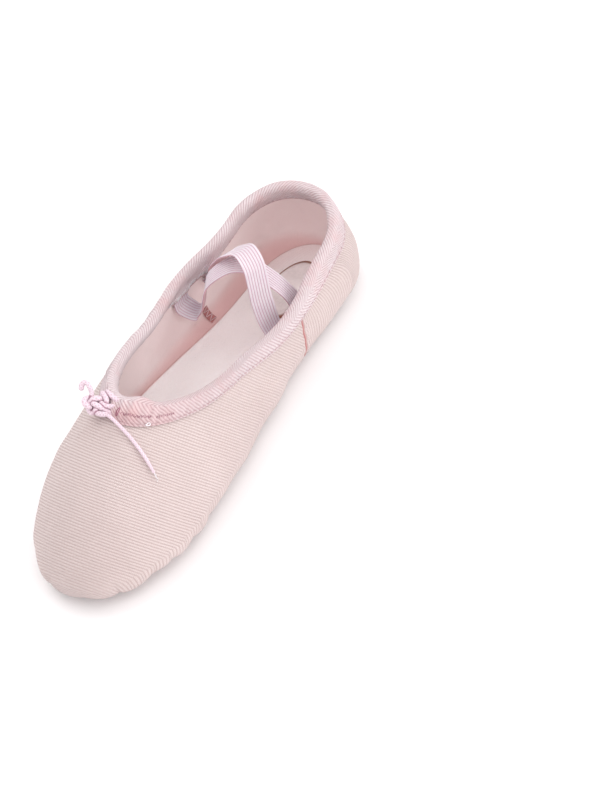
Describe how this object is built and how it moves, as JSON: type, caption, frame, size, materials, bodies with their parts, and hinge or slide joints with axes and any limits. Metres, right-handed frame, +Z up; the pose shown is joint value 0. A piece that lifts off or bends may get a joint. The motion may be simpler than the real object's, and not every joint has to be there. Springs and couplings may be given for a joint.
{
  "type": "ballet slipper",
  "caption": "Soft canvas split-sole ballet slipper with crossed elastic straps over the instep, a drawstring throat and suede patches under the ball and heel.",
  "frame": {"origin": "on the floor, under the middle of the slipper lying flat on its sole", "axes": "+X towards the toe, +Y to the slipper's left, +Z up"},
  "size_m": [0.2337, 0.0737, 0.0703],
  "materials": {
    "canvas": "pale pink cotton duck with a fine crosswise rib, matte",
    "lining": "dusty pink brushed cotton, matte",
    "insole": "pale cotton over a thin pad, matte",
    "binding": "herringbone cotton tape, light pink, slight sheen",
    "elastic": "ribbed elastic, lilac pink, slight sheen",
    "cord": "round braided elastic cord, pale lilac pink",
    "thread": "pink sewing thread",
    "sole_thread": "cream sewing thread",
    "suede": "rust red split suede, matte nap"
  },
  "bodies": {
    "forepart": {"vamp_canvas": "canvas", "vamp_wall": "canvas", "vamp_underside": "canvas", "vamp_lining": "lining", "front_insole": "insole", "front_binding": "binding", "front_drawstring": "cord", "front_binding_stitch": "thread", "front_sole_patch": "suede", "front_sole_stitch_outer": "sole_thread", "front_sole_stitch_inner": "sole_thread", "drawstring_knot": "cord", "short_tail": "cord", "arch_canvas": "canvas", "arch_lining": "lining", "arch_binding_left": "binding", "arch_binding_right": "binding", "arch_drawstring_left": "cord", "arch_drawstring_right": "cord", "arch_binding_stitch_left": "thread", "arch_binding_stitch_right": "thread"},
    "heelpart": {"waist_canvas": "canvas", "quarter_canvas": "canvas", "quarter_lining": "lining", "rear_insole": "insole", "heel_pad": "insole", "rear_binding": "binding", "rear_drawstring": "cord", "rear_binding_stitch": "thread", "cross_seam_ridge": "canvas", "cross_seam_stitch": "thread", "centre_seam_ridge": "canvas", "centre_seam_stitch_left": "thread", "centre_seam_stitch_right": "thread", "heel_sole_patch": "suede", "heel_sole_stitch_outer": "sole_thread", "heel_sole_stitch_inner": "sole_thread", "left_front_tack": "thread", "left_rear_tack": "thread", "right_front_tack": "thread", "right_rear_tack": "thread"},
    "over_strap": {"strap_over": "elastic"},
    "under_strap": {"strap_under": "elastic"},
    "long_end": {"long_tail": "cord"}
  },
  "joints": [
    {"name": "arch_fold", "type": "hinge", "parent": "forepart", "child": "heelpart", "pos_m": [0.004, 0, 0], "axis": [0, 1, 0], "range_deg": [0, 30], "deforming": ["arch_canvas", "arch_lining", "arch_binding_left", "arch_binding_right", "arch_drawstring_left", "arch_drawstring_right", "arch_binding_stitch_left", "arch_binding_stitch_right"]},
    {"name": "over_strap_swing", "type": "hinge", "parent": "heelpart", "child": "over_strap", "pos_m": [-0.0468, 0.00069, 0.03141], "axis": [0.4179, 0.9071, 0.0503], "range_deg": [-8, 12]},
    {"name": "under_strap_swing", "type": "hinge", "parent": "heelpart", "child": "under_strap", "pos_m": [-0.04605, -0.00065, 0.03142], "axis": [-0.3955, 0.9171, -0.0502], "range_deg": [-6.4, 9.6]},
    {"name": "long_end_lift", "type": "hinge", "parent": "forepart", "child": "long_end", "pos_m": [0.0577, -0.0036, 0.0606], "axis": [0.9536, -0.3011, 0], "range_deg": [0, 60]}
  ],
  "couplings": [
    {"joint": "under_strap_swing", "follows": "over_strap_swing", "ratio": 0.8}
  ]
}
